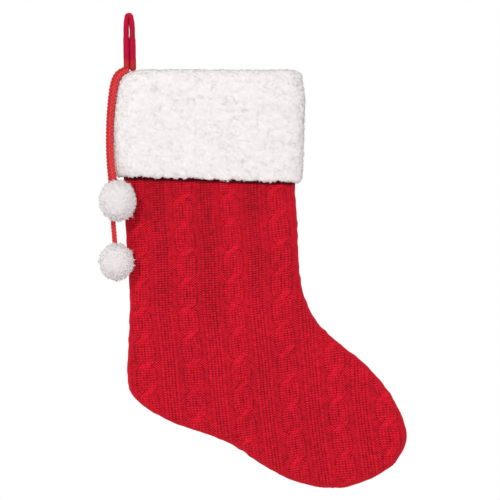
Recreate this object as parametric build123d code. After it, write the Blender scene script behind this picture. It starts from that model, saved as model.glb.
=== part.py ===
"""A knitted hanging stocking: cable-knit leg and foot, turned-down fleece cuff, velvet hanging loop,
and two cords that each end in a yarn pompom.

Millimetres. +Z is up, +X points to the toe and -Y to the front. The origin is on the inside of the
loop's crown, where the hook carries the stocking. Each physical piece is its own STEP in parts/.
"""

from build123d import *
from math import pi, radians, tan
import os

# ---------------------------------------------------------------- driving dimensions
# A rung crosses the stocking from its heel side to its toe side, given as two (x, z) points.
LEG_RUNGS = [
    ((-5.5, -66.0), (177.5, -66.0)),  # raw edge, inside the cuff
    ((-6.0, -120.0), (177.5, -120.0)),
    ((-5.6, -183.0), (177.6, -183.0)),
    ((-2.6, -240.0), (178.7, -236.0)),
    ((0.5, -290.0), (181.5, -278.0)),
    ((0.0, -335.0), (187.0, -302.0)),  # front of the ankle
    ((-1.7, -372.0), (198.0, -324.0)),
    ((1.5, -400.0), (211.0, -339.0)),  # heel
    ((24.0, -421.0), (226.0, -352.0)),
    ((66.9, -440.0), (242.0, -364.5)),
    ((103.3, -453.0), (256.0, -377.0)),  # arch and instep
    ((130.0, -469.0), (267.5, -389.5)),
    ((154.6, -485.0), (279.0, -405.5)),
    ((180.0, -496.0), (288.0, -422.0)),
    ((207.0, -502.2), (293.9, -437.5)),
    ((232.0, -501.5), (295.0, -452.5)),
    ((254.0, -494.5), (290.0, -465.5)),
    ((266.5, -488.5), (283.5, -474.5)),  # tip of the toe
]
CUFF_RUNGS = [
    ((-11.5, -173.0), (182.0, -179.0)),  # hem
    ((-14.3, -155.0), (184.3, -158.0)),
    ((-15.6, -125.0), (185.8, -126.0)),
    ((-14.0, -101.0), (186.5, -101.0)),
    ((-11.2, -83.0), (186.0, -80.0)),
    ((-9.3, -70.0), (183.2, -66.8)),
    ((-5.6, -61.8), (178.0, -59.0)),
    ((3.0, -56.2), (168.0, -55.6)),
    ((18.0, -55.0), (152.0, -55.0)),  # fold at the mouth
    ((50.0, -55.0), (115.0, -55.0)),
]
LEG_HALF = 14.0  # half the leg's depth, front to back
LEG_ROUND = 12.0  # where its front and back turn towards the side seams
CUFF_HALF = 22.5
CUFF_ROUND = 9.0

KNIT_WALL = 3.0
LINING_WALL = 0.8
LAYER_GAP = 0.3  # between fabrics that lie on each other
FACING_WALL = 5.5  # fleece turned into the mouth
FACING_DEPTH = -104.0  # z of the facing's lower edge
SEAM_HALF_GAP = 0.1  # between the front and back panels at the side seam
FLANGE_HALF = 1.25  # half thickness of a seam allowance
KNIT_FLANGE = 7.5  # inset of the knit seam allowance's raw edge
KNIT_BEAD = (7.6, 8.4)  # inset of the overlock thread on it
LINING_BEAD = (8.5, 9.2)
LINING_FLANGE = 9.3
LINING_INSET = 11.5  # of the lining's own surface
SEAM_TOP = -120.0  # z where the seam allowances start, under the loop's tail

LOOP_WIDTH = 13.2  # across both strands
LOOP_DEPTH = 8.0  # strap width, front to back
LOOP_GAP = 4.6  # between the strands where the hook goes
LOOP_ROOT_GAP = 1.0  # between the strands where they come together
LOOP_GAP_END = -25.0  # z where the gap starts to close
LOOP_PIVOT_Z = -49.2  # where the loop folds on the cuff
TAIL_THICK = 3.0  # the strap's flattened ends in the seam
TAIL_WIDTH = 11.0
TAIL_END = -74.0

CORD_D = 5.0
CLEARANCE = 0.3
# The first two runs of each cord are sewn to the cuff. At the third point it starts to hang.
SHORT_CORD = [
    (0.2, -5.4, -56.6),
    (-7.4, -5.4, -59.9),
    (-12.7, -5.4, -69.0),
    (-15.8, -6.0, -84.5),
    (-18.7, -8.0, -112.0),
    (-18.7, -12.2, -142.0),
    (-16.3, -18.4, -166.0),
    (-12.2, -24.2, -184.0),
]
LONG_CORD = [
    (-1.5, 5.6, -54.2),
    (-10.2, 5.5, -55.9),
    (-17.0, 5.0, -65.5),
    (-20.1, 4.2, -84.0),
    (-22.2, 3.2, -113.0),
    (-22.3, 2.2, -148.0),
    (-18.7, 0.6, -184.0),
    (-17.0, -5.6, -217.0),
    (-14.6, -14.6, -236.6),
    (-13.8, -21.8, -249.6),
]
POMPOM_R = 17.0
POMPOM_DROP = 12.0  # from the cord's end to the pompom's centre
CORE_R = 5.0  # hollow that the tie fills
TIE_R, TIE_WIRE_R = 3.0, 0.9
CONE_HALF_ANGLE = 45.0  # of the dent where the cord goes in

THREAD = 0.8
TACK_PITCH = 3.0
TACK_Z = -62.0
CORD_TACKS = [(-3.5, -5.4, -55.5), (-3.5, 5.5, -51.9)]  # upper end of a stitch through each cord
CORD_TACK_END = -63.5
CUFF_THREAD = (4.0, 4.8)  # inset of the cuff's side seams
CUFF_THREAD_Z = (-165.0, -80.0)
JOIN_X, JOIN_Y, JOIN_Z = (9.5, 163.5), 8.0, -64.0  # stitching round the mouth

# ---------------------------------------------------------------- flat outlines
def inset_rung(rung, inset):
    """The rung with both ends moved towards each other."""
    (px, pz), (qx, qz) = rung
    p, q = Vector(px, 0, pz), Vector(qx, 0, qz)
    step = (q - p).normalized() * inset
    return p + step, q - step


def outline_face(rungs, inset=0.0, lift=0.0):
    """The flat outline in the XZ plane, inset from its sides, with its open end moved by lift."""
    ends = [inset_rung(r, inset) for r in rungs]
    ends = [(p, q) for p, q in ends if (q - p).X > 3]
    ends[0] = tuple(p + Vector(0, 0, lift) for p in ends[0])
    near = [p for p, _ in ends]
    far = [q for _, q in ends]
    edge = Spline(*near, *reversed(far))
    return Face(Wire([edge, Line(far[0], near[0])]))


def pillow(rungs, side, half, rounding, inset=0.0, lift=0.0):
    """One side (-1 front, 1 back) of a flat bag that turns towards its seam in a round edge."""
    slab = extrude(outline_face(rungs, inset, lift), amount=half - SEAM_HALF_GAP, dir=(0, side, 0))
    slab = Pos(0, side * SEAM_HALF_GAP, 0) * slab
    rim = [
        e
        for e in slab.edges()
        if abs(e.center().Y - side * half) < 0.01 and e.geom_type != GeomType.LINE
    ]
    return slab.fillet(rounding, rim)


def z_slab(low, high):
    """Everything between two heights."""
    return Pos(90, 0, (low + high) / 2) * Box(500, 200, high - low)


def seam_band(outer, inner, y_low, y_high):
    """A band that follows the leg's outline between two insets."""
    ring = outline_face(LEG_RUNGS, outer) - outline_face(LEG_RUNGS, inner, 10)
    band = Pos(0, y_low, 0) * extrude(ring, amount=y_high - y_low, dir=(0, 1, 0))
    return band & z_slab(-600, SEAM_TOP)


def flange_span(side):
    return sorted((side * SEAM_HALF_GAP, side * FLANGE_HALF))


def layer(side, inset, depth, lift=0.0):
    """The leg's shape at some inset from its outline and some depth under its surface."""
    return pillow(LEG_RUNGS, side, LEG_HALF - depth, LEG_ROUND - depth, inset, lift)


# ---------------------------------------------------------------- leg and lining
def knit_panel(side):
    shell = layer(side, 0, 0) - layer(side, KNIT_WALL, KNIT_WALL, 5)
    flange = seam_band(KNIT_WALL - 1.0, KNIT_FLANGE, *flange_span(side))
    return shell + flange


def lining_panel(side):
    depth = KNIT_WALL + LAYER_GAP
    inset = LINING_INSET
    inner = inset + LINING_WALL
    shell = layer(side, inset, depth) - layer(side, inner, depth + LINING_WALL, 5)
    flange = seam_band(LINING_FLANGE, inner - LINING_WALL / 2, *flange_span(side))
    return shell + flange


# ---------------------------------------------------------------- cuff
def cuff_panel(side):
    """The fleece outside the leg, over its top edge and down inside the mouth, in one fold."""
    inset = LINING_INSET + LINING_WALL + LAYER_GAP
    depth = KNIT_WALL + 2 * LAYER_GAP + LINING_WALL
    band = pillow(CUFF_RUNGS, side, CUFF_HALF, CUFF_ROUND)
    band = band - layer(side, -LAYER_GAP, -LAYER_GAP, LAYER_GAP)
    facing = layer(side, inset, depth, 1) & z_slab(FACING_DEPTH, 0)
    cavity = layer(side, inset + FACING_WALL, depth + FACING_WALL, 30)
    return band + facing - cavity


def cuff_seam_thread(left):
    """The stitching that closes the cuff at one side."""
    ring = outline_face(CUFF_RUNGS, CUFF_THREAD[0]) - outline_face(CUFF_RUNGS, CUFF_THREAD[1], -10)
    band = Pos(0, -FLANGE_HALF, 0) * extrude(ring, amount=2 * FLANGE_HALF, dir=(0, 1, 0))
    middle = Pos(-60 if left else 240, 0, 0) * Box(300, 100, 1000)
    return band & middle & z_slab(*CUFF_THREAD_Z)


def cuff_join_thread():
    """The stitching round the mouth that joins the fleece, the knit and the lining."""
    low, high = JOIN_X
    place = Pos((low + high) / 2, 0, JOIN_Z)
    outer = Box(high - low + 2 * THREAD, 2 * (JOIN_Y + THREAD), THREAD)
    return place * (outer - Box(high - low, 2 * JOIN_Y, THREAD))


# ---------------------------------------------------------------- hanging loop
def loop_strap():
    """A velvet strap folded over the hook; its strands come together above the cuff."""
    half, gap, root = LOOP_WIDTH / 2, LOOP_GAP / 2, LOOP_ROOT_GAP / 2
    crown_z = -gap
    root_z = LOOP_PIVOT_Z + LOOP_DEPTH / 2 + 1.0
    plane = Plane.XZ
    outside = plane * Polyline(
        (-half, crown_z), (-half, LOOP_PIVOT_Z), (half, LOOP_PIVOT_Z), (half, crown_z)
    ) + plane * ThreePointArc((half, crown_z), (0, crown_z + half), (-half, crown_z))
    inside = plane * Polyline(
        (-gap, crown_z),
        (-gap, LOOP_GAP_END),
        (-root, root_z),
        (root, root_z),
        (gap, LOOP_GAP_END),
        (gap, crown_z),
    ) + plane * ThreePointArc((gap, crown_z), (0, 0), (-gap, crown_z))
    flat = Face(Wire(outside.edges())) - Face(Wire(inside.edges()))
    strap = extrude(flat, amount=LOOP_DEPTH / 2, both=True)
    knuckle = Pos(0, 0, LOOP_PIVOT_Z) * Rot(0, 90, 0) * Cylinder(LOOP_DEPTH / 2, LOOP_WIDTH)
    return strap + knuckle


def loop_tail(slack=0.0):
    """The strap's flattened ends, sewn in between the cuff's front and back."""
    top = LOOP_PIVOT_Z - LOOP_DEPTH / 2 - CLEARANCE + slack
    long = top - TAIL_END + slack
    return Pos(0, 0, top - long / 2) * Box(TAIL_WIDTH + 2 * slack, TAIL_THICK + 2 * slack, long)


def tail_slot():
    return loop_tail(0.15)


def bar_tack():
    """Thread stitches that go through the tail and the fleece, front to back."""
    count = int(TAIL_WIDTH / 2 // TACK_PITCH)
    stitch = Box(THREAD, TAIL_THICK + 3 * THREAD, THREAD)
    places = [Pos(i * TACK_PITCH, 0, TACK_Z) for i in range(-count, count + 1)]
    return Compound([place * stitch for place in places])


def cord_tack():
    """A stitch down through each cord's end into the fleece."""
    stitches = []
    for x, y, top in CORD_TACKS:
        stitches.append(Pos(x, y, (CORD_TACK_END + top) / 2) * Box(THREAD, THREAD, top - CORD_TACK_END))
    return Compound(stitches)


# ---------------------------------------------------------------- cords and pompoms
def cord_path(points):
    """Straight runs joined by tangent arcs that are as large as the runs allow."""
    at = [Vector(*p) for p in points]
    radii = []
    for before, corner, after in zip(at, at[1:], at[2:]):
        turn = (corner - before).get_angle(after - corner)
        run = min((corner - before).length, (after - corner).length)
        radii.append(0.45 * run / tan(radians(turn / 2)))
    print("cord arc radii, mm:", [round(r, 1) for r in radii])
    return FilletPolyline(*at, radius=radii)


def cord_tube(points, radius):
    path = cord_path(points)
    tube = sweep(Plane(origin=path @ 0, z_dir=path % 0) * Circle(radius), path=path)
    expected = pi * radius**2 * path.length
    print("  length, mm:", round(path.length, 1), "volume ratio:", round(tube.volume / expected, 4))
    return tube


def cord_root(points, radius=CORD_D / 2):
    """The sewn end of a cord, from the seam to just above the point where it starts to swing."""
    a, b, c = (Vector(*p) for p in points[:3])
    end = c - (c - b).normalized() * (CORD_D / 2 + CLEARANCE)
    return cord_tube([a, b, end], radius)


def hanging_cord(points):
    """The part of a cord that swings, with round ends at its pivots."""
    tube = cord_tube(points[2:], CORD_D / 2)
    for end in (points[2], points[-1]):
        tube = tube + Pos(*end) * Sphere(CORD_D / 2)
    return tube


def pompom_centre(points):
    x, y, z = points[-1]
    return Vector(x, y, z - POMPOM_DROP)


def pompom(points):
    """A yarn ball with a hollow core for its tie and a dent where the cord goes in."""
    centre, end = pompom_centre(points), Vector(*points[-1])
    throat = CORD_D / 2 + CLEARANCE
    rise = POMPOM_R - POMPOM_DROP + 4
    wide = throat + rise * tan(radians(CONE_HALF_ANGLE))
    dent = Pos(end + Vector(0, 0, rise / 2)) * Cone(throat, wide, rise) + Pos(end) * Sphere(throat)
    ball = Pos(centre) * Sphere(POMPOM_R)
    return ball - Pos(centre) * Sphere(CORE_R) - dent


def pompom_tie(points):
    """Two crossed turns of thread that hold the yarn at the middle."""
    ring = Pos(pompom_centre(points)) * Torus(TIE_R, TIE_WIRE_R)
    knot = Pos(pompom_centre(points)) * Sphere(TIE_R - TIE_WIRE_R + 0.4)
    return ring + knot


# ---------------------------------------------------------------- write every piece
def keep_largest(shape):
    """The panel without the crumbs that a slot cuts off."""
    return max(shape.solids(), key=lambda s: s.volume)


def sewn(shape, *threads):
    """The shape with a hole for each thread that goes through it."""
    for thread in threads:
        shape = shape - thread
    return shape


def main():
    tack, cord_stitch, join = bar_tack(), cord_tack(), cuff_join_thread()
    seams = [cuff_seam_thread(True), cuff_seam_thread(False)]
    grooves = [cord_root(c, CORD_D / 2 + CLEARANCE) for c in (SHORT_CORD, LONG_CORD)]
    pieces = {
        "hanging_loop": loop_strap(),
        "loop_tail": sewn(loop_tail(), tack),
        "loop_bartack": tack,
        "knit_seam_thread": seam_band(*KNIT_BEAD, -FLANGE_HALF, FLANGE_HALF),
        "lining_seam_thread": seam_band(*LINING_BEAD, -FLANGE_HALF, FLANGE_HALF),
        "cuff_seam_heel_side": seams[0],
        "cuff_seam_toe_side": seams[1],
        "cuff_join_thread": join,
        "cord_tack": cord_stitch,
    }
    for name, side in (("front", -1), ("back", 1)):
        cuff = sewn(cuff_panel(side), tail_slot(), *grooves, tack, cord_stitch, join, *seams)
        pieces[f"knit_{name}"] = keep_largest(knit_panel(side) - tail_slot())
        pieces[f"lining_{name}"] = lining_panel(side)
        pieces[f"cuff_{name}"] = keep_largest(cuff)
    for name, points, place in (("short", SHORT_CORD, "upper"), ("long", LONG_CORD, "lower")):
        pieces[f"cord_{name}_root"] = sewn(cord_root(points), cord_stitch)
        pieces[f"cord_{name}"] = hanging_cord(points)
        pieces[f"pompom_{place}"] = pompom(points)
        pieces[f"pompom_{place}_tie"] = pompom_tie(points)
    os.makedirs("parts", exist_ok=True)
    for name, shape in pieces.items():
        export_step(shape, f"parts/{name}.step")
        print(name, "volume", round(shape.volume, 1))


main()
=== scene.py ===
"""The looks of the hanging stocking: cable knit, curly fleece cuff, velvet loop, cords and pompoms."""

import math

import bpy
import numpy as np
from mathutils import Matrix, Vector


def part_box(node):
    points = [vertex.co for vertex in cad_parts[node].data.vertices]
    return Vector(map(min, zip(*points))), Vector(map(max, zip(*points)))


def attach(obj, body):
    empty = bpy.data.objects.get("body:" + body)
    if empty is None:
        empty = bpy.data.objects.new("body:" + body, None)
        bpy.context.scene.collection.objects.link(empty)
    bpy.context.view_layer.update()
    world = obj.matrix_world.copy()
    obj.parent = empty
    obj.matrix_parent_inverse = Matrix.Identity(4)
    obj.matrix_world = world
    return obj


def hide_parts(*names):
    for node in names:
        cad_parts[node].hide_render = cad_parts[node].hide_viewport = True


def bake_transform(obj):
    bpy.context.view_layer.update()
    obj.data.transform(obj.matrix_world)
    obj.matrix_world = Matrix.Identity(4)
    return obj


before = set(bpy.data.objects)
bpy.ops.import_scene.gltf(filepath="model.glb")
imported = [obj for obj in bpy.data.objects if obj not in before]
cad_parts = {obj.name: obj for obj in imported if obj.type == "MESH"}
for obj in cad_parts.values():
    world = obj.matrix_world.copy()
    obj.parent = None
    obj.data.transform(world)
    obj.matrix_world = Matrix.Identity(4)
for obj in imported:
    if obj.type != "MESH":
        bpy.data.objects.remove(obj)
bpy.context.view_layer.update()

MM = 0.001
rng = np.random.default_rng(11)


# ---------------------------------------------------------------- camera and cords' routes
def make_camera():
    """A long lens, straight on to the front, framed on the whole stocking."""
    lens, sensor = 200.0, 36.0
    view_width = 0.535
    middle_x, middle_z = 0.1295, -0.2488
    data = bpy.data.cameras.new("camera")
    data.lens, data.sensor_width, data.clip_end = lens, sensor, 50.0
    camera = bpy.data.objects.new("camera", data)
    camera.location = (middle_x, -view_width * lens / sensor, middle_z)
    camera.rotation_euler = (math.radians(90), 0, 0)
    bpy.context.collection.objects.link(camera)
    bpy.context.scene.camera = camera


make_camera()

CORD_DIAMETER = 0.005
SHORT_CORD = [  # the control points of the cords' routes, in mm, as in the CAD source
    (0.2, -5.4, -56.6),
    (-7.4, -5.4, -59.9),
    (-12.7, -5.4, -69.0),
    (-15.8, -6.0, -84.5),
    (-18.7, -8.0, -112.0),
    (-18.7, -12.2, -142.0),
    (-16.3, -18.4, -166.0),
    (-12.2, -24.2, -184.0),
]
LONG_CORD = [
    (-1.5, 5.6, -54.2),
    (-10.2, 5.5, -55.9),
    (-17.0, 5.0, -65.5),
    (-20.1, 4.2, -84.0),
    (-22.2, 3.2, -113.0),
    (-22.3, 2.2, -148.0),
    (-18.7, 0.6, -184.0),
    (-17.0, -5.6, -217.0),
    (-14.6, -14.6, -236.6),
    (-13.8, -21.8, -249.6),
]


def smooth_route(points, samples=40):
    """The NURBS line that has the route's points as its control points, as an array in metres."""
    data = bpy.data.curves.new("route", "CURVE")
    data.dimensions = "3D"
    data.resolution_u = samples
    spline = data.splines.new("NURBS")
    spline.points.add(len(points) - 1)
    for point, place in zip(spline.points, points):
        point.co = (*[c * MM for c in place], 1.0)
    spline.order_u = 3
    spline.use_endpoint_u = True
    line = bpy.data.objects.new("route", data)
    bpy.context.collection.objects.link(line)
    mesh = bpy.data.meshes.new_from_object(line)
    route = np.array([v.co for v in mesh.vertices])
    bpy.data.objects.remove(line)
    bpy.data.meshes.remove(mesh)
    return route


def resampled(route, step):
    """Points evenly spaced along a line."""
    runs = np.linalg.norm(np.diff(route, axis=0), axis=1)
    along = np.concatenate([[0], np.cumsum(runs)])
    at = np.linspace(0, along[-1], max(2, int(round(along[-1] / step)) + 1))
    return np.stack([np.interp(at, along, route[:, i]) for i in range(3)], axis=1), along[-1]


# ---------------------------------------------------------------- numbers and meshes
def smoothstep(low, high, x):
    """0 at low and before it, 1 at high and past it, and a smooth change between."""
    t = np.clip((x - low) / (high - low), 0, 1)
    return t * t * (3 - 2 * t)


def near(distance, width):
    """1 at a distance of 0, fading out over a few widths on both sides."""
    return np.exp(-((distance / width) ** 2))


def value_noise(x, y, cell, seed):
    """Smooth noise from -1 to 1 on a plane, with bumps about one cell wide."""
    size = 256
    table = np.random.default_rng(seed).uniform(-1, 1, (size + 1, size + 1))
    gx, gy = np.asarray(x) / cell, np.asarray(y) / cell
    ix, iy = np.floor(gx).astype(int), np.floor(gy).astype(int)
    fx, fy = gx - ix, gy - iy
    fx, fy = fx * fx * (3 - 2 * fx), fy * fy * (3 - 2 * fy)
    ix, iy = ix % size, iy % size
    low = table[iy, ix] * (1 - fx) + table[iy, ix + 1] * fx
    high = table[iy + 1, ix] * (1 - fx) + table[iy + 1, ix + 1] * fx
    return low * (1 - fy) + high * fy


def noise3(points, cell, seed):
    """Smooth noise from -1 to 1 in space, for points in metres and a cell in mm."""
    size = 32
    table = np.random.default_rng(seed).uniform(-1, 1, (size + 1, size + 1, size + 1))
    g = points / (cell * MM)
    i = np.floor(g).astype(int)
    f = g - i
    f = f * f * (3 - 2 * f)
    i = i % size
    total = 0
    for dx in (0, 1):
        for dy in (0, 1):
            for dz in (0, 1):
                weight = 1
                for axis, d in enumerate((dx, dy, dz)):
                    weight = weight * (f[:, axis] if d else 1 - f[:, axis])
                total = total + weight * table[i[:, 0] + dx, i[:, 1] + dy, i[:, 2] + dz]
    return total


def mesh_piece(name, vertices, faces, material, body, attributes=None):
    """A smooth-shaded piece from arrays, riding on a body."""
    mesh = bpy.data.meshes.new(name)
    count, sides = faces.shape
    mesh.vertices.add(len(vertices))
    mesh.vertices.foreach_set("co", np.asarray(vertices, np.float32).ravel())
    mesh.loops.add(count * sides)
    mesh.loops.foreach_set("vertex_index", faces.astype(np.int32).ravel())
    mesh.polygons.add(count)
    mesh.polygons.foreach_set("loop_start", np.arange(0, count * sides, sides, dtype=np.int32))
    mesh.polygons.foreach_set("use_smooth", np.ones(count, bool))
    for key, values in (attributes or {}).items():
        layer = mesh.attributes.new(key, "FLOAT", "POINT")
        layer.data.foreach_set("value", np.asarray(values, np.float32))
    mesh.update(calc_edges=True)
    mesh.materials.append(material)
    piece = bpy.data.objects.new(name, mesh)
    bpy.context.collection.objects.link(piece)
    if body:
        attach(piece, body)
    return piece


def grid_faces(rows, columns, wrap=False):
    """Quads between the points of a grid, stored row by row."""
    r = np.arange(rows - 1)[:, None]
    c = np.arange(columns if wrap else columns - 1)[None, :]
    n = (c + 1) % columns
    quads = [r * columns + c, r * columns + n, (r + 1) * columns + n, (r + 1) * columns + c]
    return np.stack([q.ravel() for q in quads], axis=1)


def unit(v):
    """Vectors of the same directions and length 1."""
    return v / np.maximum(np.linalg.norm(v, axis=-1, keepdims=True), 1e-12)


def many_tubes(paths, radii, sides):
    """Vertices and quads of many thin tubes; paths is (tubes, points, 3), radii (tubes, points)."""
    tubes, points, _ = paths.shape
    along = unit(np.gradient(paths, axis=1))
    guide = unit(rng.normal(size=(tubes, 1, 3)))
    across = unit(np.cross(along, guide + 0.3 * along[:, :1]))
    third = np.cross(along, across)
    turn = np.arange(sides) * 2 * math.pi / sides
    ring = np.cos(turn)[:, None] * across[:, :, None] + np.sin(turn)[:, None] * third[:, :, None]
    vertices = paths[:, :, None] + radii[:, :, None, None] * ring
    one = grid_faces(points, sides, wrap=True)
    offsets = np.arange(tubes)[:, None, None] * points * sides
    return vertices.reshape(-1, 3), (one[None] + offsets).reshape(-1, 4)


# ---------------------------------------------------------------- materials
def nodes_material(name):
    """A new material, its node tree and its shader."""
    material = bpy.data.materials.new(name)
    material.use_nodes = True
    tree = material.node_tree
    return material, tree, tree.nodes["Principled BSDF"]


def add(tree, kind, **inputs):
    """A node with some of its inputs set."""
    node = tree.nodes.new(kind)
    for key, value in inputs.items():
        node.inputs[key.replace("_", " ")].default_value = value
    return node


def ramp(tree, source, stops):
    """A colour ramp over (position, (r, g, b)) stops, fed from a socket."""
    node = tree.nodes.new("ShaderNodeValToRGB")
    elements = node.color_ramp.elements
    while len(elements) < len(stops):
        elements.new(0.5)
    for element, (position, colour) in zip(elements, stops):
        element.position = position
        element.color = (*colour, 1)
    tree.links.new(source, node.inputs["Fac"])
    return node.outputs["Color"]


def noise_node(tree, scale, detail=3.0, stretch=(1, 1, 1)):
    """A noise texture fixed to the piece, with its scale in bumps to the metre."""
    place = tree.nodes.new("ShaderNodeTexCoord")
    mapping = tree.nodes.new("ShaderNodeMapping")
    mapping.inputs["Scale"].default_value = stretch
    tree.links.new(place.outputs["Object"], mapping.inputs["Vector"])
    node = add(tree, "ShaderNodeTexNoise", Scale=scale, Detail=detail)
    tree.links.new(mapping.outputs["Vector"], node.inputs["Vector"])
    return node.outputs["Fac"]


def multiplied(tree, a, b):
    """The product of two colours. The Mix node's colours are its sockets 6 and 7, and output 2."""
    node = tree.nodes.new("ShaderNodeMix")
    node.data_type = "RGBA"
    node.blend_type = "MULTIPLY"
    node.inputs["Factor"].default_value = 1.0
    tree.links.new(a, node.inputs[6])
    tree.links.new(b, node.inputs[7])
    return node.outputs[2]


def bumped(tree, shader, source, strength, distance):
    """Gives a shader a bump from a height socket."""
    node = add(tree, "ShaderNodeBump", Strength=strength, Distance=distance)
    tree.links.new(source, node.inputs["Height"])
    tree.links.new(node.outputs["Normal"], shader.inputs["Normal"])


def srgb(*values):
    """Linear colour of an sRGB colour given from 0 to 255."""
    scaled = [v / 255 for v in values]
    return tuple(v / 12.92 if v < 0.04045 else ((v + 0.055) / 1.055) ** 2.4 for v in scaled)


PATCHES_PER_M, FIBRES_PER_M = 55.0, 1500.0
FIBRE_HEIGHT = 0.0003


def yarn_material(name, stops, mottle, sheen=0.25, sheen_tint=(1, 1, 1), fuzz=0.5):
    """Spun yarn: colour from a 'relief' attribute that mostly holds painted shade, mottled, with fine fibres
    in the bump.
    """
    material, tree, shader = nodes_material(name)
    # the 'relief' attribute carries each piece's painted shade, dark in hollows and light on raised yarn
    height = tree.nodes.new("ShaderNodeAttribute")
    height.attribute_name = "relief"
    colour = ramp(tree, height.outputs["Fac"], stops)
    mottling = [(0.3, (1 - mottle,) * 3), (0.7, (1.0,) * 3)]
    patches = ramp(tree, noise_node(tree, PATCHES_PER_M), mottling)
    fibres = noise_node(tree, FIBRES_PER_M, 2.0, (1, 1, 0.5))
    flecks = ramp(tree, fibres, mottling)
    colour = multiplied(tree, colour, patches)
    colour = multiplied(tree, colour, flecks)
    tree.links.new(colour, shader.inputs["Base Color"])
    shader.inputs["Roughness"].default_value = 0.9
    shader.inputs["Specular IOR Level"].default_value = 0.2
    shader.inputs["Sheen Weight"].default_value = sheen
    shader.inputs["Sheen Roughness"].default_value = 0.5
    shader.inputs["Sheen Tint"].default_value = (*sheen_tint, 1)
    bumped(tree, shader, fibres, fuzz, FIBRE_HEIGHT)
    return material


KNIT = yarn_material(
    "knit_yarn",
    [(0.0, srgb(52, 0, 8)), (0.3, srgb(138, 0, 20)), (0.6, srgb(197, 4, 32)), (1.0, srgb(240, 22, 50))],
    0.08,
    sheen=0.03,
    sheen_tint=srgb(255, 120, 130),
)
FLEECE = yarn_material(
    "fleece",
    [(0.0, srgb(203, 197, 196)), (0.5, srgb(220, 215, 214)), (1.0, srgb(231, 226, 225))],
    0.02,
    sheen=0.1,
    fuzz=0.3,
)
POMPOM = yarn_material(
    "pompom_yarn",
    [(0.0, srgb(192, 185, 185)), (0.5, srgb(218, 212, 212)), (1.0, srgb(236, 230, 230))],
    0.02,
    sheen=0.1,
    fuzz=0.3,
)
CORD = yarn_material(
    "cord_yarn",
    [(0.0, srgb(168, 26, 32)), (0.5, srgb(208, 46, 52)), (1.0, srgb(226, 80, 82))],
    0.06,
    sheen_tint=srgb(255, 150, 150),
)
VELVET = yarn_material(
    "strap_velvet",
    [(0.0, srgb(110, 10, 28)), (0.35, srgb(164, 4, 42)), (0.8, srgb(188, 4, 52)), (1.0, srgb(184, 42, 44))],
    0.12,
    sheen=0.06,
    sheen_tint=srgb(255, 90, 130),
)
LINING = yarn_material(
    "lining_cloth",
    [(0.0, srgb(120, 10, 24)), (1.0, srgb(176, 24, 40))],
    0.06,
    fuzz=0.2,
)
THREAD = yarn_material("sewing_thread", [(0.0, srgb(150, 18, 32)), (1.0, srgb(170, 24, 40))], 0.1)
WHITE_THREAD = yarn_material("white_thread", [(0.0, srgb(228, 224, 222)), (1.0, srgb(240, 237, 235))], 0.05)


# ---------------------------------------------------------------- outlines, read off the frame
def row_extents(node, rows):
    """The lowest and highest x of a CAD node at each height, in mm."""
    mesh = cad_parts[node].data
    co = np.empty(len(mesh.vertices) * 3, np.float32)
    mesh.vertices.foreach_get("co", co)
    co = co.reshape(-1, 3) / MM
    ends = np.empty(len(mesh.edges) * 2, np.int32)
    mesh.edges.foreach_get("vertices", ends)
    a, b = co[ends[0::2]], co[ends[1::2]]
    low, high = np.minimum(a[:, 2], b[:, 2]), np.maximum(a[:, 2], b[:, 2])
    extents = []
    for z in rows:
        hit = (low <= z) & (high >= z) & (high - low > 1e-6)
        t = (z - a[hit, 2]) / (b[hit, 2] - a[hit, 2])
        x = a[hit, 0] + t * (b[hit, 0] - a[hit, 0])
        extents.append((x.min(), x.max()) if len(x) else (np.nan, np.nan))
    return np.array(extents)


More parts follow.
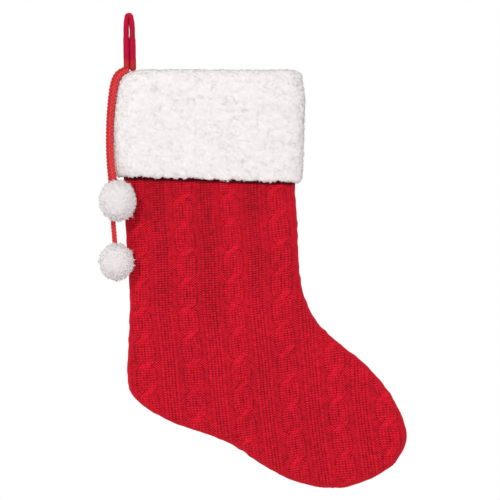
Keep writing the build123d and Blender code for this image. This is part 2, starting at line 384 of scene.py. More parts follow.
class Outline:
    """A node's flat outline in mm: its two sides by height, and how far a point is inside it."""

    def __init__(self, node):
        low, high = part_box(node)
        self.bottom, self.top = low.z / MM, high.z / MM
        clear = 0.02  # the rows keep off the very ends, where there may be no edge to cut
        self.z = np.linspace(self.bottom + clear, self.top - clear, 900)
        extents = row_extents(node, self.z)
        self.left, self.right = extents[:, 0], extents[:, 1]
        edge = np.concatenate([
            np.stack([self.left, self.z], 1),
            np.stack([self.right, self.z], 1)[::-1],
        ])
        runs = np.linalg.norm(np.diff(edge, axis=0), axis=1)
        along = np.concatenate([[0], np.cumsum(runs)])
        at = np.arange(0, along[-1], 1.0)
        self.edge = np.stack([np.interp(at, along, edge[:, i]) for i in range(2)], 1)
        self.cell = 3.0
        margin = 6
        self.x0, self.z0 = self.edge[:, 0].min() - margin, self.bottom - margin
        nx = int((self.edge[:, 0].max() + 2 * margin - self.x0) / self.cell) + 2
        nz = int((self.top + 2 * margin - self.z0) / self.cell) + 2
        gx, gz = np.meshgrid(self.x0 + np.arange(nx) * self.cell, self.z0 + np.arange(nz) * self.cell)
        points = np.stack([gx.ravel(), gz.ravel()], 1)
        distance = np.empty(len(points))
        batch = 2000
        for i in range(0, len(points), batch):
            gap = points[i:i + batch, None] - self.edge[None]
            distance[i:i + batch] = np.sqrt((gap ** 2).sum(2).min(1))
        self.table = distance.reshape(gx.shape)

    def sides(self, z):
        """The outline's x at its left and its right, at a height."""
        return np.interp(z, self.z, self.left), np.interp(z, self.z, self.right)

    def inside(self, x, z):
        """Distance to the nearest edge, in mm, blended from a coarse table."""
        gx, gz = (x - self.x0) / self.cell, (z - self.z0) / self.cell
        ix = np.clip(gx.astype(int), 0, self.table.shape[1] - 2)
        iz = np.clip(gz.astype(int), 0, self.table.shape[0] - 2)
        fx, fz = gx - ix, gz - iz
        t = self.table
        low = t[iz, ix] * (1 - fx) + t[iz, ix + 1] * fx
        high = t[iz + 1, ix] * (1 - fx) + t[iz + 1, ix + 1] * fx
        left, right = self.sides(z)
        near_side = np.minimum(x - left, right - x)
        return np.maximum(np.minimum(low * (1 - fz) + high * fz, near_side), 0)

    def outward(self, x, z, step=4.0):
        """Unit direction away from the middle, at points near the edge."""
        gx = self.inside(x - step, z) - self.inside(x + step, z)
        gz = self.inside(x, z - step) - self.inside(x, z + step)
        size = np.maximum(np.hypot(gx, gz), 1e-6)
        return gx / size, gz / size

    def grid(self, dx, dz, top, bottom):
        """Triangles over the outline: x, z of each point, and the faces."""
        rows = np.arange(bottom, top, dz)
        left, right = self.sides(rows)
        columns = np.arange(self.edge[:, 0].min() - dx, self.edge[:, 0].max() + dx, dx)
        x = np.clip(columns[None, :], left[:, None], right[:, None])
        new = np.ones(x.shape, bool)
        new[:, 1:] = np.diff(x, axis=1) > 1e-6
        index = (np.cumsum(new.ravel()) - 1).reshape(x.shape)
        a, b, c, d = index[:-1, :-1], index[:-1, 1:], index[1:, 1:], index[1:, :-1]
        faces = np.concatenate([
            np.stack([a.ravel(), b.ravel(), c.ravel()], 1),
            np.stack([a.ravel(), c.ravel(), d.ravel()], 1),
        ])
        good = (faces[:, 0] != faces[:, 1]) & (faces[:, 1] != faces[:, 2]) & (faces[:, 0] != faces[:, 2])
        z = np.broadcast_to(rows[:, None], x.shape)
        return x[new], z[new], faces[good]


leg_outline = Outline("knit_front")
LEG_HALF = 11.3  # half the leg's depth, away from its sides
LEG_ROUND = 24.0  # how far from its sides the leg is rounded
SEAM_HALF = 1.2  # half its depth at the side seam


def leg_depth(inside, half=LEG_HALF, rounding=LEG_ROUND):
    """Half the stuffed leg's depth at a distance from its side seam, in mm."""
    t = np.clip(inside / rounding, 0, 1)
    return SEAM_HALF + (half - SEAM_HALF) * (1 - (1 - t) ** 2.3) ** (1 / 2.1)


# ---------------------------------------------------------------- cable knit
PITCH = 50.2  # from one cable to the next
FIRST_CABLE = 6.5
CROSSING = 29.4  # from one crossing to the next
FIRST_CROSSING = -187.8
CROSSED = 0.17  # the part of CROSSING, each way, over which the strands change places
STRAND = 4.9  # from a cable's middle to a strand's
STRAND_HALF = 5.5  # half a strand's width between crossings
WALE, COURSE = 3.4, 2.55
BAND_EDGE = 8.5  # from a plain band's middle to its side
BACK_SHIFT = 17.0  # the back's cables stand this far from the front's
HEM_LEFT = -172.5  # the cuff's lower edge at the heel side
HEM_TILT, HEM_RUN = -6.3, 190  # its drop towards the other side, and the length of that
KNIT_LEAN = (  # a height, and how far the wales have drifted to the toe there
    (-505, 28),
    (-452, 20.5),
    (-425, 17),
    (-395, 14),
    (-367, 12),
    (-338, 9),
    (-310, 6),
    (-248, 4.5),
    (-219, 1.6),
    (-188, 0),
    (-50, -1),
)
KNIT_RISE = (  # a place across the stocking, and how far the courses have risen there
    (-10, -9),
    (7, -8.6),
    (60, -5.4),
    (110, -2.4),
    (160, 5.4),
    (210, 13.4),
    (262, 18.2),
    (300, 20),
)


def looked_up(table, at):
    """A value from (place, value) pairs, changing evenly from one to the next."""
    places, values = zip(*table)
    return np.interp(at, places, values)


def stitch(p, q, low, flat):
    """A knit stitch's height; p is across the wale from -0.5 to 0.5, q counts courses."""
    column = low + (1 - low) * np.cos(math.pi * p) ** 0.8
    slant = 0.5 + 0.5 * np.cos(2 * math.pi * (q + 0.8 * np.abs(p)))
    return np.clip(column * (flat + (1 - flat) * slant), 0, 1)


def purl(p, q):
    """The bumps of a purl column, each course's set half a wale from the last one's."""
    return 0.5 + 0.5 * np.tanh(2.0 * np.sin(2 * math.pi * q) * np.sin(2 * math.pi * p))


def crown(s):
    """A strand's rounded section, from -1 to 1 across it."""
    return np.clip(1 - s ** 2, 0, 1) ** 0.7


def in_wale(s):
    """Where a place counted in wales lies in its own wale, from -0.5 to 0.5."""
    return (s + 0.5) % 1 - 0.5


def cable_height(u, v, q):
    """A cable's relief, how far up its yarn each point is, and how far the cable reaches aside.

    Its two strands of three wales bow apart and cross, always the same way."""
    n = np.round(v / CROSSING)
    f = v / CROSSING - n
    swap = smoothstep(-CROSSED, CROSSED, f)
    bump = near(f, CROSSED)
    bow = 0.92 + 0.16 * np.sin(math.pi * np.abs(f)) ** 1.5
    offset = STRAND * (1 - 2 * swap) * bow
    half = STRAND_HALF - 0.7 * bump
    over = (u - offset) / half
    under = (u + offset) / half
    height_over = (0.7 + 0.5 * bump) * crown(over)
    height_under = (0.7 - 0.35 * bump) * crown(under)
    top = height_over >= height_under
    s = np.where(top, over, under)
    groove = near(1 - np.abs(s), 0.11)
    # painted shade: the groove between the strands is darkened as well as lowered
    detail = stitch(in_wale(s * 1.5), q, 0.5, 0.3) - 0.38 * groove
    smooth = np.where(top, bump, 0)
    # painted highlight on the strand that lies over at a crossing, which also stands a little higher
    detail = detail + 0.3 * smooth * (0.9 - detail)
    return np.maximum(height_over, height_under), detail, np.abs(offset) + half


def knit_height(x, z):
    """The knit's relief over its backing in mm, its painted shade (dark in the hollows between stitches,
    light up on the yarn), and its broad relief.
    """
    u = x - looked_up(KNIT_LEAN, z) - FIRST_CABLE
    v = -(z - looked_up(KNIT_RISE, x)) + FIRST_CROSSING
    cable_u = u - np.round(u / PITCH) * PITCH
    band_u = np.abs(cable_u) - PITCH / 2
    off_cable, off_band = np.abs(cable_u), np.abs(band_u)
    q = v / COURSE
    cable, cable_detail, cable_edge = cable_height(cable_u, v, q)
    purl_detail = purl(cable_u / WALE, q)
    # the foot's bands are drawn out into ribs
    ribbed = smoothstep(-290, -350, z + 12 * value_noise(x, z, 30, 4))
    band_detail = stitch(in_wale(band_u / WALE), q, 0.38 - 0.1 * ribbed, 0.2 + 0.2 * ribbed)
    in_cable = 1 - smoothstep(cable_edge - 0.9, cable_edge + 0.3, off_cable)
    in_band = 1 - smoothstep(BAND_EDGE - 0.3, BAND_EDGE + 0.9, off_band)
    in_purl = 1 - in_cable - in_band
    detail = in_purl * (purl_detail + 0.08) + in_cable * (cable_detail - 0.03)
    detail = detail + in_band * (band_detail - 0.05)
    # a dotted line of painted shade in the gap beside each band and cable, and a painted highlight along the
    # band's last wale; both also move the knit's surface
    dotted = (0.6 + 0.4 * np.sin(2 * math.pi * q)) * (0.8 + 0.5 * value_noise(x, z, 12, 19))
    gap = near(off_band - BAND_EDGE - 0.9, 0.6) + near(off_cable - cable_edge - 0.5, 0.6)
    lit = near(off_band - BAND_EDGE + 0.3, 0.5)
    detail = detail + 0.28 * lit - 0.34 * dotted * gap
    base = 0.12 * in_purl + in_cable * cable + 0.2 * in_band
    uneven = value_noise(np.round(u / WALE) * 3.7, q, 1.0, 3)
    fleck_and_crevice_shade = value_noise(x, z, 0.95, 18)
    # random flecks of lighter and darker yarn, and painted shade in small pits among the purl stitches
    detail = detail * (1 + 0.2 * fleck_and_crevice_shade) + 0.06 * fleck_and_crevice_shade - 0.1 * in_purl * smoothstep(0.1, 0.6, fleck_and_crevice_shade)
    return base + 0.75 * detail + 0.15 * uneven, detail + 0.12 * uneven, base


def rim_shift(x, z, inside):
    """How far the knit's edge moves in the stocking's plane.

    It wanders everywhere, and on the toe side and the sole it swells past the CAD outline."""
    wander = 0.55 * (1 - smoothstep(0.0, 7.0, inside))
    left, right = leg_outline.sides(z)
    toe_side = smoothstep(0.45, 0.75, (x - left) / np.maximum(right - left, 1)) * smoothstep(-178, -215, z)
    toe_side = toe_side * (1 - 0.9 * smoothstep(-476, -492, z))
    sole = smoothstep(-412, -432, z)
    swell = np.maximum(1.9 * toe_side, 0.7 * sole) * (1 - smoothstep(0, 28, inside))
    out_x, out_z = leg_outline.outward(x, z)
    shift_x = wander * value_noise(x, z, 6.5, 16) + swell * out_x
    shift_z = wander * value_noise(x, z, 6.5, 17) + swell * out_z
    return shift_x, shift_z


def knit_panel(name, side, dx, dz):
    """One knitted side of the leg and foot, from inside the cuff to the toe."""
    x, z, faces = leg_outline.grid(dx, dz, leg_outline.top - 1, leg_outline.bottom + 0.05)
    inside = leg_outline.inside(x, z)
    relief, detail, base = knit_height(x if side < 0 else x + BACK_SHIFT, z)
    fade = smoothstep(1.4, 5.0, inside)  # the pattern fades into the side seam
    seam = near(inside - 2.0, 1.4)
    sag = 0.8 * value_noise(x, z, 46, 5 + side) + 0.5 * value_noise(x, z, 19, 8 + side)
    depth = leg_depth(inside) + fade * relief + 0.8 * seam + fade * sag
    depth = np.where(inside < 0.02, 0.0, depth)  # the two panels meet at the outline
    patch = value_noise(x, z, 33, 15)
    # painted shade: dark in the hollows between stitches and beside the cables, lighter up on the yarn and on
    # the raised cables; the patch term is random tone
    shade = np.clip(0.1 + 0.82 * detail + 0.05 * base + 0.03 * patch, 0, 1)
    shade = shade * fade + 0.55 * (1 - fade)
    hem = HEM_LEFT + HEM_TILT * x / HEM_RUN
    shade = shade * (1 - 0.85 * smoothstep(-3.0, 0.5, z - hem))  # painted shadow under the cuff's hem
    shift_x, shift_z = rim_shift(x, z, inside)
    vertices = np.stack([x + shift_x, side * depth, z + shift_z], 1) * MM
    if side > 0:
        faces = faces[:, ::-1]
    piece = mesh_piece(name, vertices, faces, KNIT, "stocking", {"relief": shade})
    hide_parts("knit_front" if side < 0 else "knit_back")
    return piece


LINING_INSET = 9.0  # how far the lining's edge stays inside the knit's
LINING_HALF, LINING_ROUND = 8.6, 16.0  # half its depth, and how far from its sides it is rounded


def lining_panel(name, side):
    """The lining inside the leg, a little smaller than the knit, with soft wrinkles."""
    x, z, faces = leg_outline.grid(2.5, 2.5, leg_outline.top - 3, leg_outline.bottom + 12)
    inside = np.maximum(leg_outline.inside(x, z) - LINING_INSET, 0)
    squeeze = 1 - 0.55 * smoothstep(-112, -90, z)  # narrower where it goes up into the mouth
    wrinkle = 0.5 * value_noise(x, z, 22, 31 + side)
    swell = leg_depth(inside, LINING_HALF, LINING_ROUND) - SEAM_HALF
    y = side * (0.4 + squeeze * swell + wrinkle * smoothstep(0, 8, inside))
    middle = np.mean(leg_outline.sides(z), axis=0)
    pull = np.clip(LINING_INSET / np.maximum(np.abs(x - middle), LINING_INSET + 0.1), 0, 1)
    if side > 0:
        faces = faces[:, ::-1]
    vertices = np.stack([x + (middle - x) * pull, y, z], 1) * MM
    shade = np.full(len(x), 0.7)
    piece = mesh_piece(name, vertices, faces, LINING, "stocking", {"relief": shade})
    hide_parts("lining_front" if side < 0 else "lining_back")
    return piece


knit_front = knit_panel("knit_front_panel", -1, 0.6, 0.55)
knit_back = knit_panel("knit_back_panel", 1, 0.8, 0.75)
lining_front = lining_panel("lining_front_panel", -1)
lining_back = lining_panel("lining_back_panel", 1)


# ---------------------------------------------------------------- fleece cuff
cuff_outline = Outline("cuff_front")
CUFF_STEP = 0.9  # between the points of the fleece's mesh
CUFF_TURN = 230  # about half the way round the cuff
CUFF_TOP, CUFF_BOTTOM = -57.0, -172.0
CUFF_PROFILE = [  # inset along x, inset along y, z at the heel side
    (8.0, 5.6, -154.0),
    (8.0, 5.6, -164.0),
    (5.5, 4.6, -168.4),
    (2.6, 2.4, -169.6),
    (0.8, 0.8, -167.6),
    (0.0, 0.0, -163.0),
    (0.0, 0.0, -150.0),
    (0.0, 0.0, -120.0),
    (0.0, 0.0, -95.0),
    (0.0, 0.4, -80.0),
    (0.4, 1.8, -70.0),
    (2.0, 4.6, -63.5),
    (6.0, 8.6, -59.0),
    (12.0, 12.0, -57.6),
    (19.0, 14.6, -59.5),
    (24.0, 16.6, -65.0),
    (25.5, 17.0, -76.0),
    (25.5, 17.0, -103.0),
]
CUFF_HALF = 21.5  # half the cuff's depth
PILE_LEFT, PILE_RIGHT = 0.6, 0.4  # how far the pile's ground stands out past the CAD's sides
RIDGES_X = (10.5, 163.5)  # upright ridges in the pile, near both sides
SQUARED = 7  # how far the toe side's upper corner is drawn out
HIDDEN_BELOW, HIDDEN_INSIDE = 4, 30  # rows of the profile inside the hem, and inside the mouth


def spline_through(points, step):
    """A smooth curve through points, evenly resampled."""
    points = np.array(points, float)
    padded = np.concatenate([[2 * points[0] - points[1]], points, [2 * points[-1] - points[-2]]])
    t = np.linspace(0, 1, 12, endpoint=False)[:, None]
    out = []
    for i in range(1, len(padded) - 2):
        a, b, c, d = padded[i - 1], padded[i], padded[i + 1], padded[i + 2]
        out.append(0.5 * (2 * b + (c - a) * t + (2 * a - 5 * b + 4 * c - d) * t ** 2
                          + (3 * b - a - 3 * c + d) * t ** 3))
    out = np.concatenate(out + [points[-1:]])
    runs = np.linalg.norm(np.diff(out, axis=0), axis=1)
    along = np.concatenate([[0], np.cumsum(runs)])
    at = np.linspace(0, along[-1], int(along[-1] / step) + 1)
    return np.stack([np.interp(at, along, out[:, i]) for i in range(out.shape[1])], 1)


def cuff_surface(side):
    """Points on one half of the cuff, as (profile, around, 3) in mm, before its pile."""
    profile = spline_through(CUFF_PROFILE, CUFF_STEP)
    around = int(CUFF_TURN / CUFF_STEP)
    s = np.linspace(-1, 1, around)
    rows = []
    for inset_x, inset_y, z in profile:
        left, right = cuff_outline.sides(np.clip(z, CUFF_BOTTOM, CUFF_TOP))
        left, right = left - PILE_LEFT + inset_x, right + PILE_RIGHT - inset_x
        half = CUFF_HALF - inset_y
        round_part = min(half * 1.15, (right - left) / 2)  # the width that each rounded side takes
        flat_part = right - left - 2 * round_part
        arc = round_part * 1.5  # about the length of the way round one side
        total = flat_part + 2 * arc
        d = (s + 1) / 2 * total
        angle_low = np.clip(d / arc, 0, 1) * math.pi / 2
        angle_high = np.clip((total - d) / arc, 0, 1) * math.pi / 2
        x = left + round_part * (1 - np.cos(angle_low)) + np.clip(d - arc, 0, flat_part)
        x = x + round_part * np.where(d > arc + flat_part, np.cos(angle_high), 0)
        y = side * half * np.sin(np.minimum(angle_low, angle_high)) ** 0.85
        tilt = HEM_TILT * np.clip((x - left) / HEM_RUN, 0, 1) * smoothstep(-90, CUFF_BOTTOM, z)
        corner = smoothstep(140, 172, x) * smoothstep(-70, -58, z)
        rows.append(np.stack([x + SQUARED * corner, y, z + tilt], 1))
    return np.array(rows)


def cuff_half(name, side):
    """One half of the cuff with its pile's nubs, and what the curls on it need: its points, their
    normals, and which of them show."""
    base = cuff_surface(side) * MM
    rows, columns, _ = base.shape
    du = np.gradient(base, axis=1)
    dv = np.gradient(base, axis=0)
    normal = unit(np.cross(du, dv)).reshape(-1, 3) * (-1 if side > 0 else 1)
    flat = base.reshape(-1, 3)
    drift = np.stack([flat[:, 0] * 0.5, flat[:, 1], flat[:, 2] + flat[:, 0] * 0.14], 1)
    coarse = noise3(flat, 15.0, 41)
    nubs = noise3(drift, 3.6, 42)
    fine = noise3(flat, 1.7, 43)
    crease = near(noise3(drift, 4.2, 47), 0.1) * smoothstep(-0.35, 0.15, noise3(flat, 7.0, 48))
    off_ridge = np.minimum(*(np.abs(flat[:, 0] / MM - x) for x in RIDGES_X))
    ridge = near(off_ridge, 2.4) * (flat[:, 1] * side > 0.015) * (0.5 + noise3(flat, 9.0, 46))
    height = 0.35 * coarse + 0.42 * nubs + 0.5 * fine - 0.5 * crease + 0.5 * ridge + 0.55
    vertices = flat + normal * (height[:, None] * MM)
    around = flat * np.array([1, 1, 0])
    ragged = 0.9 * noise3(around, 4.6, 44) + 0.8 * noise3(around, 2.3, 45)
    vertices[:, 2] += ragged * smoothstep(HEM_LEFT + 10, HEM_LEFT + 2, flat[:, 2] / MM) * MM
    # painted shade: lighter on the pile's nubs and fine bumps, darker in its creases
    shade = np.clip(0.62 + 0.18 * nubs + 0.34 * fine - 0.42 * crease, 0, 1)
    faces = grid_faces(rows, columns)
    if side < 0:
        faces = faces[:, ::-1]
    piece = mesh_piece(name, vertices, faces, FLEECE, "stocking", {"relief": shade})
    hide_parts("cuff_front" if side < 0 else "cuff_back")
    row = np.repeat(np.arange(rows), columns)
    visible = np.where((row > HIDDEN_BELOW) & (row < rows - HIDDEN_INSIDE))[0]
    return piece, vertices, normal, visible


def curls(name, vertices, normal, visible, count):
    """Short curled tufts of pile, most of them where the cuff turns away from the front."""
    points, sides = 6, 4
    edge_on = 0.004 + (1 - np.abs(normal[visible, 1])) ** 1.5
    pick = rng.choice(visible, count, replace=False, p=edge_on / edge_on.sum())
    out, root = normal[pick], vertices[pick]
    side_way = unit(np.cross(out, rng.normal(size=(count, 3))))
    other = np.cross(out, side_way)
    t = np.linspace(0, 1, points)[None, :, None]
    radius = rng.uniform(0.6, 1.3, (count, 1, 1)) * MM
    turns = rng.uniform(0.7, 1.25, (count, 1, 1)) * 2 * math.pi
    rim = 1 + 3.0 * (1 - np.abs(out[:, 1]))[:, None, None] ** 2  # taller where they are seen side-on
    lift = rng.uniform(0.0, 0.5, (count, 1, 1)) * MM * rim
    curl = (
        root[:, None]
        + out[:, None] * (lift * t + radius * (1 - np.cos(turns * t)) * 0.12 - 0.2 * MM)
        + side_way[:, None] * radius * np.sin(turns * t)
        + other[:, None] * (t - 0.5) * rng.uniform(0.5, 2.2, (count, 1, 1)) * MM
    )
    thick = rng.uniform(0.18, 0.3, (count, 1)) * MM * np.array([[0.7, 1, 1.1, 1, 0.85, 0.15]])
    tube_vertices, tube_faces = many_tubes(curl, thick, sides)
    # painted shade, darker at each curl's root and lighter towards its tip
    shade = 0.75 + 0.2 * t[:, :, 0] + rng.uniform(-0.15, 0.15, (count, 1))
    shade = np.repeat(shade.ravel(), sides)
    return mesh_piece(name, tube_vertices, tube_faces, FLEECE, "stocking", {"relief": shade})


cuff_front, *front_pile = cuff_half("cuff_front_panel", -1)
cuff_back, *back_pile = cuff_half("cuff_back_panel", 1)
front_curls = curls("cuff_front_curls", *front_pile, 3000)
back_curls = curls("cuff_back_curls", *back_pile, 2800)


# ---------------------------------------------------------------- hanging loop
STRAP_SIDES = 24
LOOP_LEAN = 0.018


def swept(route, half_widths, half_depths, sides, power):
    """A tube with a superellipse section along a route; its depth is along Y."""
    along = unit(np.gradient(route, axis=0))
    depth = np.broadcast_to((0.0, 1.0, 0.0), route.shape)
    across = unit(np.cross(depth, along))
    turn = np.arange(sides) * 2 * math.pi / sides
    c, s = np.cos(turn), np.sin(turn)
    c, s = np.sign(c) * np.abs(c) ** (2 / power), np.sign(s) * np.abs(s) ** (2 / power)
    ring = (half_widths[:, None, None] * c[None, :, None] * across[:, None]
            + half_depths[:, None, None] * s[None, :, None] * depth[:, None])
    return (route[:, None] + ring).reshape(-1, 3), grid_faces(len(route), sides, wrap=True)


def velvet_loop():
    """The strap: up from the cuff, over the hook and down again beside itself."""
    left = [(-3.25, 0, z) for z in (-68, -60, -54, -46, -38, -30, -24)]
    left += [(-3.33, 0, -18), (-3.36, 0, -13), (-2.9, 0, -7), (-2.5, 0, -2)]
    arc = [(-2.0 * math.cos(a), 0, 0.4 + 2.0 * math.sin(a)) for a in np.linspace(0.25, math.pi - 0.25, 7)]
    right = [(-x, y, z) for x, y, z in reversed(left)]
    route, _ = resampled(np.array(spline_through(left + arc + right, 0.5)) * MM, 0.5 * MM)
    z = route[:, 2] / MM
    wide = 3.4 - 1.6 * smoothstep(-53, -60, z) - 0.45 * smoothstep(-25, -18, z) - 0.25 * smoothstep(-9, -1, z)
    deep = 3.9 - 2.3 * smoothstep(-52, -60, z)
    flat, faces = swept(route, wide * MM, deep * MM, STRAP_SIDES, 2.4)
    out = unit(flat - np.repeat(route, STRAP_SIDES, axis=0))
    pile = 0.14 * noise3(flat, 1.1, 51) + 0.22 * noise3(flat, 5.0, 52)
    flat = flat + out * (pile[:, None] * MM)
    flat[:, 0] -= LOOP_LEAN * flat[:, 2]
    inner = -np.repeat(np.sign(route[:, 0]), STRAP_SIDES) * out[:, 0]  # 1 where the strands face each other
    # painted shade where the two strands face each other, over random tone
    shade = 0.62 - 0.3 * smoothstep(0.2, 1.0, inner) + 0.12 * noise3(flat, 3.0, 53)
    warm = smoothstep(-37, -53, flat[:, 2] / MM + 1.5 * noise3(flat, 4.0, 54))
    shade = np.clip(shade + 0.5 * warm, 0.02, 1)
    piece = mesh_piece("velvet_loop", flat, faces, VELVET, None, {"relief": shade})
    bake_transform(piece)
    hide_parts("hanging_loop", "loop_tail")
    return piece


velvet_loop()


# ---------------------------------------------------------------- plaited cords
PLAIT_LAY = 11.5 * MM  # one yarn's way over and back
YARN_ASIDE, YARN_THROUGH = 0.33, 0.16  # how far a yarn swings, in cord diameters
YARN_HALF = 0.235  # half its thickness, in cord diameters
YARN_TWIST = 2.2 * MM  # one turn of its fibres
YARN_SIDES = 8


def plaited_cord(name, points, diameter, nodes):
    """A plait of three thick yarns along a route."""
    step = 0.45 * MM
    route, length = resampled(smooth_route(points), step)
    along = unit(np.gradient(route, axis=0))
    across = unit(np.cross(along, (0, 1, 0)))
    third = np.cross(along, across)
    s = np.arange(len(route)) * step
    strands, shades = [], []
    for i in range(3):
        phase = 2 * math.pi * (s / PLAIT_LAY + i / 3)
        aside = diameter * YARN_ASIDE * np.sin(phase)
        through = diameter * YARN_THROUGH * np.sin(2 * phase)
        strands.append(route + aside[:, None] * across + through[:, None] * third)
        twist = 4 * np.arange(YARN_SIDES)[None] * math.pi / YARN_SIDES + 2 * math.pi * s[:, None] / YARN_TWIST
        # painted shade: darker where a yarn dips under the other two, and in stripes along its twist
        shades.append(0.45 + 0.25 * np.abs(np.sin(2 * phase))[:, None] + 0.2 * np.cos(twist))
    thick = np.full((3, len(route)), diameter * YARN_HALF)
    thick[:, [0, -1]] = 0.1 * MM  # both ends are closed
    vertices, faces = many_tubes(np.array(strands), thick, YARN_SIDES)
    shade = np.clip(np.array(shades).ravel(), 0, 1)
    piece = mesh_piece(name, vertices, faces, CORD, None, {"relief": shade})
    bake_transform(piece)
    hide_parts(*nodes)
    return piece


# ---------------------------------------------------------------- pompoms
TUFTS = 620  # bundles of strand ends on one pompom
BALL_ROWS, BALL_COLUMNS = 130, 260
STRAND_POINTS, STRAND_SIDES = 4, 3
KNIT_SPARE = 2.3  # room that the yarn keeps from the knit's front


def even_directions(count):
    """Directions spread evenly over a ball."""
    i = np.arange(count) + 0.5
    polar = np.arccos(1 - 2 * i / count)
    turn = math.pi * (1 + 5 ** 0.5) * i
    return np.stack([np.cos(turn) * np.sin(polar), np.sin(turn) * np.sin(polar), np.cos(polar)], 1)


def nearest(directions, centres):
    """The index of the centre nearest each direction, and how far off it is in radians."""
    cosines = directions @ centres.T
    index = np.argmax(cosines, axis=1)
    return index, np.arccos(np.clip(cosines[np.arange(len(directions)), index], -1, 1))


def splayed(way):
    """Unit directions away from the Y axis, for strands that point along way."""
    return unit(way * (1, 0, 1) + (0, 1e-6, 0))


def clear_of_knit(centre, radii, way, reach):
    """The reach along each way, in radii, cut back where it would come to the knit's front."""
    rounds, cut = 7, 0.95
    for _ in range(rounds):
        tip = centre + way * reach[:, None] * radii
        left = leg_outline.sides(tip[:, 2])[0]
        inside = leg_outline.inside(np.maximum(tip[:, 0], left), tip[:, 2])
        wall = -leg_depth(inside) - KNIT_SPARE
        hits = (tip[:, 0] > left - 1.0) & (tip[:, 1] > wall)
        reach = np.where(hits, cut * reach, reach)
    return reach


def pompom_ball(centre, radii, tufts, long, seed):
    """The dense body: its points, row by row from pole to pole, and how light each one is.

    Both noises are far finer than the mesh, so that each point has a value of its own."""
    polar, turn = np.meshgrid(
        np.linspace(0, math.pi, BALL_ROWS),
        np.arange(BALL_COLUMNS) * 2 * math.pi / BALL_COLUMNS,
        indexing="ij",
    )
    ball = np.stack([np.sin(polar) * np.cos(turn), np.sin(polar) * np.sin(turn), np.cos(polar)], 2)
    ball = ball.reshape(-1, 3)
    index, off = nearest(ball, tufts)
    tuft = np.clip(1 - off / 0.085, 0, 1) ** 0.8
    rim = 1 - 0.85 * ball[:, 1] ** 2
    grain = noise3(splayed(ball) * 13 + ball * (0, 1.5, 0), 1.0, seed + 20) * np.sqrt(1 - ball[:, 1] ** 2)
    uneven = noise3(ball * radii, 7.0, seed + 21)
    swell = 0.93 + 0.025 * uneven + 0.01 * grain + rim * tuft * (0.045 + 0.028 * long[index])
    swell = clear_of_knit(centre, radii, ball, swell)
    # painted light on the raised tufts round the rim; the grain and unevenness terms are random tone
    shade = 0.55 + 0.5 * grain + 0.12 * uneven + 0.15 * rim * tuft
    return (centre + ball * radii * swell[:, None]) * MM, shade


def pompom_strands(centre, radii, tufts, long, count, seed, local):
    """The strand ends, most of them round the rim: their points, faces, and how light each point is."""
    way = unit(even_directions(2 * count) + local.normal(scale=0.05, size=(2 * count, 3)))
    way = way[local.random(2 * count) < 0.03 + 0.75 * (1 - np.abs(way[:, 1])) ** 1.3]
    count = len(way)
    index, _off = nearest(way, tufts)
    clump = unit(0.55 * way + 0.45 * tufts[index] + 0.35 * (splayed(way) * np.abs(way[:, 1:2])))
    uneven = noise3(way * radii, 7.0, seed + 21)
    reach = (0.985 + 0.025 * uneven + 0.035 * long[index]) * local.uniform(0.96, 1.03, count)
    stray = local.random(count) < 0.03
    reach[stray] *= local.uniform(1.02, 1.12, stray.sum())
    reach = clear_of_knit(centre, radii, clump, reach)
    t = np.linspace(0, 1, STRAND_POINTS)[None, :, None]
    start = centre + way[:, None] * (0.88 * radii)
    end = centre + clump[:, None] * (reach[:, None] * radii)[:, None]
    bow = local.normal(scale=0.2, size=(count, 1, 3))
    paths = start + (end - start) * t + bow * np.sin(t * math.pi)
    thick = local.uniform(0.14, 0.22, (count, 1)) * np.array([[1.2, 1.1, 0.9, 0.05]])
    vertices, faces = many_tubes(paths * MM, thick * MM, STRAND_SIDES)
    # painted shade, darkest at each strand's root deep in the ball
    shade = np.linspace(0.5, 0.8, STRAND_POINTS)[None] + local.uniform(-0.06, 0.06, (count, 1))
    return vertices, faces, np.repeat(shade.ravel(), STRAND_SIDES)


def pompom(name, centre, radii, body, node, count, seed):
    """A trimmed ball of cut yarn: a dense body of tufts, and strand ends that stand out of it."""
    local = np.random.default_rng(seed)
    centre, radii = np.array(centre), np.array(radii)
    tufts = even_directions(TUFTS)
    tufts = unit(tufts + local.normal(scale=0.05, size=tufts.shape))
    long = local.normal(scale=1.0, size=TUFTS)
    long = np.where(local.random(TUFTS) < 0.06, np.abs(long) + 1.6, long)
    ball, ball_shade = pompom_ball(centre, radii, tufts, long, seed)
    strands, strand_faces, strand_shade = pompom_strands(centre, radii, tufts, long, count, seed, local)
    vertices = np.concatenate([strands, ball])
    ball_faces = grid_faces(BALL_ROWS, BALL_COLUMNS, wrap=True) + len(strands)
    faces = np.concatenate([strand_faces, ball_faces])
    shade = np.clip(np.concatenate([strand_shade, ball_shade]), 0, 1)
    piece = mesh_piece(name, vertices, faces, POMPOM, body, {"relief": shade})
    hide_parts(node)
    return piece


upper_pompom = pompom(
    "upper_pompom", (-10.8, -24.2, -196.5), (20.0, 20.4, 22.2), "upper_ball", "pompom_upper", 5200, seed=71
)
lower_pompom = pompom(
    "lower_pompom", (-12.4, -21.8, -261.4), (18.6, 19.4, 20.2), "lower_ball", "pompom_lower", 5000, seed=91
)
plaited_cord(
    "short_cord", SHORT_CORD, CORD_DIAMETER,
    ["cord_short_root", "cord_short"],
)
plaited_cord(
    "long_cord", LONG_CORD, CORD_DIAMETER,
    ["cord_long_root", "cord_long"],
)


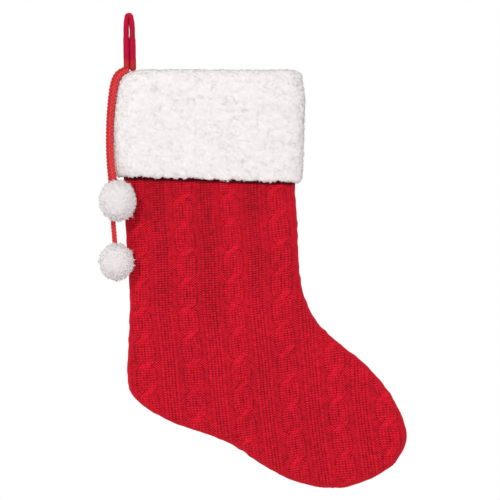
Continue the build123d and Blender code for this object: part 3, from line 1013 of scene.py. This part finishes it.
# ---------------------------------------------------------------- threads keep their CAD shapes
for node_name, material in (
    ("loop_bartack", THREAD),
    ("knit_seam_thread", THREAD),
    ("lining_seam_thread", THREAD),
    ("cord_tack", THREAD),
    ("cuff_seam_heel_side", WHITE_THREAD),
    ("cuff_seam_toe_side", WHITE_THREAD),
    ("cuff_join_thread", WHITE_THREAD),
    ("pompom_upper_tie", WHITE_THREAD),
    ("pompom_lower_tie", WHITE_THREAD),
):
    for material_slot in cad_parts[node_name].material_slots:
        material_slot.material = material


# ---------------------------------------------------------------- studio
def surround():
    """A white world, a little dimmer on the camera's side."""
    world = bpy.data.worlds.new("studio")
    world.use_nodes = True
    tree = world.node_tree
    place = tree.nodes.new("ShaderNodeTexCoord")
    split = tree.nodes.new("ShaderNodeSeparateXYZ")
    fall = tree.nodes.new("ShaderNodeMapRange")
    for key, value in (("From Min", -0.8), ("From Max", -0.1), ("To Min", 0.66), ("To Max", 1.0)):
        fall.inputs[key].default_value = value
    tree.links.new(place.outputs["Generated"], split.inputs["Vector"])
    tree.links.new(split.outputs["Y"], fall.inputs["Value"])
    tree.links.new(fall.outputs["Result"], tree.nodes["Background"].inputs["Strength"])
    tree.nodes["Background"].inputs["Color"].default_value = (1, 1, 1, 1)
    bpy.context.scene.world = world


def pale_floor():
    """A round floor well below the stocking, out of the photo's view."""
    sides, radius, middle_x, height = 64, 3.5, 0.13, -0.95
    turn = np.arange(sides) * 2 * math.pi / sides
    rim = np.stack([middle_x + radius * np.cos(turn), radius * np.sin(turn), np.full(sides, height)], 1)
    mesh = bpy.data.meshes.new("floor")
    mesh.from_pydata([tuple(p) for p in rim], [], [tuple(range(sides))])
    material, _tree, shader = nodes_material("floor")
    shader.inputs["Base Color"].default_value = (0.86, 0.86, 0.86, 1)
    shader.inputs["Roughness"].default_value = 0.9
    mesh.materials.append(material)
    floor = bpy.data.objects.new("floor", mesh)
    bpy.context.collection.objects.link(floor)


def soft_light(name, place, size, power):
    """A square light that faces the stocking's middle."""
    target = Vector((0.1, 0, -0.25))
    data = bpy.data.lights.new(name, "AREA")
    data.size, data.energy = size, power
    light = bpy.data.objects.new(name, data)
    light.location = place
    light.rotation_euler = (target - Vector(place)).to_track_quat("-Z", "Y").to_euler()
    bpy.context.collection.objects.link(light)


surround()
pale_floor()
soft_light("key", (-0.85, -1.95, 0.8), 0.5, 24.0)
soft_light("fill", (2.1, -1.2, 0.1), 1.4, 8.0)
bpy.context.scene.view_settings.view_transform = "Standard"
